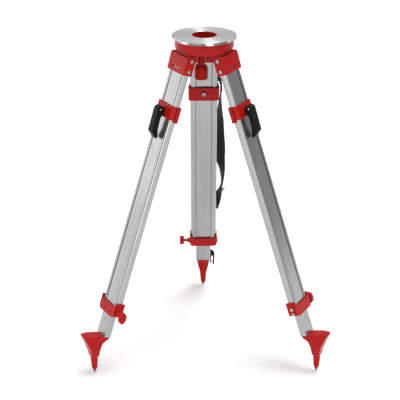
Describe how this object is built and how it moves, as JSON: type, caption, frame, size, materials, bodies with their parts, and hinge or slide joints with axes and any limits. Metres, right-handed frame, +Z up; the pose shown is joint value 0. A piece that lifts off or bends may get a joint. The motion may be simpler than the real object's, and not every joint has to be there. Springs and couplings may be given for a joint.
{
  "type": "surveyor tripod",
  "caption": "Surveyor's tripod with a flat round head, swinging fixing screw and telescoping aluminium legs with cam clamps, thumb screws and pointed feet.",
  "frame": {"origin": "middle of the outline on the ground, under the spread legs; the head's axis is 84.6 mm in front of it along -Y", "axes": "+Z up, towards the head; -Y forward, between the two front legs; the rear leg points along +Y"},
  "size_m": [0.6758, 0.5962, 0.902],
  "materials": {
    "polished_aluminium": "polished, turned",
    "anodised_aluminium": "satin anodised extrusion",
    "zinc_steel": "bright zinc plated",
    "red_paint": "gloss powder coat on cast aluminium",
    "red_plastic": "gloss moulded",
    "black_plastic": "fine grained moulded",
    "webbing": "woven polyester webbing"
  },
  "bodies": {
    "head": {"head_plate": "polished_aluminium", "head_casting": "red_paint", "arm_pivot_screw": "zinc_steel"},
    "arm": {"swing_arm": "zinc_steel"},
    "sleeve": {"screw_sleeve": "red_paint"},
    "washer": {"thrust_washer": "zinc_steel"},
    "screw": {"fixing_stud": "zinc_steel", "fixing_knob": "red_plastic"},
    "front_left_leg": {"front_left_bracket": "red_paint", "front_left_hinge_bolt": "zinc_steel", "front_left_bracket_bolt": "zinc_steel", "front_left_rail_near": "anodised_aluminium", "front_left_rail_far": "anodised_aluminium", "front_left_panel": "anodised_aluminium", "front_left_collar": "red_paint", "front_left_collar_screw": "zinc_steel"},
    "front_left_extension": {"front_left_clamp_outer": "red_paint", "front_left_clamp_inner": "red_paint", "front_left_clamp_bolt": "zinc_steel", "front_left_lever_pin": "zinc_steel", "front_left_inner_leg": "anodised_aluminium", "front_left_foot": "red_paint"},
    "front_left_lever": {"front_left_lever": "black_plastic"},
    "front_left_thumb_screw": {"front_left_thumb_screw": "red_plastic"},
    "front_right_leg": {"front_right_bracket": "red_paint", "front_right_hinge_bolt": "zinc_steel", "front_right_bracket_bolt": "zinc_steel", "front_right_rail_near": "anodised_aluminium", "front_right_rail_far": "anodised_aluminium", "front_right_panel": "anodised_aluminium", "front_right_collar": "red_paint", "front_right_collar_screw": "zinc_steel"},
    "front_right_extension": {"front_right_clamp_outer": "red_paint", "front_right_clamp_inner": "red_paint", "front_right_clamp_bolt": "zinc_steel", "front_right_lever_pin": "zinc_steel", "front_right_inner_leg": "anodised_aluminium", "front_right_foot": "red_paint"},
    "front_right_lever": {"front_right_lever": "black_plastic"},
    "front_right_thumb_screw": {"front_right_thumb_screw": "red_plastic"},
    "rear_leg": {"rear_bracket": "red_paint", "rear_hinge_bolt": "zinc_steel", "rear_bracket_bolt": "zinc_steel", "rear_rail_near": "anodised_aluminium", "rear_rail_far": "anodised_aluminium", "rear_panel": "anodised_aluminium", "rear_collar": "red_paint", "rear_collar_screw": "zinc_steel", "carry_strap": "webbing", "strap_keeper": "black_plastic", "strap_patch": "black_plastic"},
    "rear_extension": {"rear_clamp_outer": "red_paint", "rear_clamp_inner": "red_paint", "rear_clamp_bolt": "zinc_steel", "rear_lever_pin": "zinc_steel", "rear_inner_leg": "anodised_aluminium", "rear_foot": "red_paint", "tie_clip": "black_plastic"},
    "rear_lever": {"rear_lever": "black_plastic"},
    "rear_thumb_screw": {"rear_thumb_screw": "red_plastic"}
  },
  "joints": [
    {"name": "arm_swing", "type": "hinge", "parent": "head", "child": "arm", "pos_m": [-0.05023, -0.05557, 0.8605], "axis": [0, 0, 1], "range_deg": [-8, 12]},
    {"name": "sleeve_slide", "type": "slide", "parent": "arm", "child": "sleeve", "axis": [0.8243, -0.5661, 0], "range_m": [-0.002, 0.011]},
    {"name": "screw_lift", "type": "slide", "parent": "sleeve", "child": "washer", "axis": [0, 0, 1], "range_m": [0, 0.026]},
    {"name": "screw_turn", "type": "hinge", "parent": "washer", "child": "screw", "pos_m": [-0.008, -0.08457, 0.802], "axis": [0, 0, 1], "continuous": true},
    {"name": "front_left_spread", "type": "hinge", "parent": "head", "child": "front_left_leg", "pos_m": [-0.05456, -0.11607, 0.8493], "axis": [-0.5, 0.866, 0], "range_deg": [-19.1, 25]},
    {"name": "front_left_extend", "type": "slide", "parent": "front_left_leg", "child": "front_left_extension", "axis": [-0.2834, -0.1636, -0.9449], "range_m": [0, 0.4]},
    {"name": "front_left_clamp_lever", "type": "hinge", "parent": "front_left_extension", "child": "front_left_lever", "pos_m": [-0.11853, -0.15301, 0.72461], "axis": [-0.5, 0.866, 0], "range_deg": [0, 95]},
    {"name": "front_left_thumb_turn", "type": "hinge", "parent": "front_left_leg", "child": "front_left_thumb_screw", "pos_m": [-0.22434, -0.28338, 0.18311], "axis": [-0.5, 0.866, 0], "continuous": true},
    {"name": "front_right_spread", "type": "hinge", "parent": "head", "child": "front_right_leg", "pos_m": [0.05456, -0.11607, 0.8493], "axis": [-0.5, -0.866, 0], "range_deg": [-19.1, 25]},
    {"name": "front_right_extend", "type": "slide", "parent": "front_right_leg", "child": "front_right_extension", "axis": [0.2834, -0.1636, -0.9449], "range_m": [0, 0.4]},
    {"name": "front_right_clamp_lever", "type": "hinge", "parent": "front_right_extension", "child": "front_right_lever", "pos_m": [0.11853, -0.15301, 0.72461], "axis": [-0.5, -0.866, 0], "range_deg": [0, 95]},
    {"name": "front_right_thumb_turn", "type": "hinge", "parent": "front_right_leg", "child": "front_right_thumb_screw", "pos_m": [0.28434, -0.17946, 0.18311], "axis": [-0.5, -0.866, 0], "continuous": true},
    {"name": "rear_spread", "type": "hinge", "parent": "head", "child": "rear_leg", "pos_m": [0, -0.02158, 0.8493], "axis": [1, 0, 0], "range_deg": [-19.1, 25]},
    {"name": "rear_extend", "type": "slide", "parent": "rear_leg", "child": "rear_extension", "axis": [0, 0.3272, -0.9449], "range_m": [0, 0.4]},
    {"name": "rear_clamp_lever", "type": "hinge", "parent": "rear_extension", "child": "rear_lever", "pos_m": [0, 0.05229, 0.72461], "axis": [1, 0, 0], "range_deg": [0, 95]},
    {"name": "rear_thumb_turn", "type": "hinge", "parent": "rear_leg", "child": "rear_thumb_screw", "pos_m": [-0.06, 0.20911, 0.18311], "axis": [1, 0, 0], "continuous": true}
  ]
}
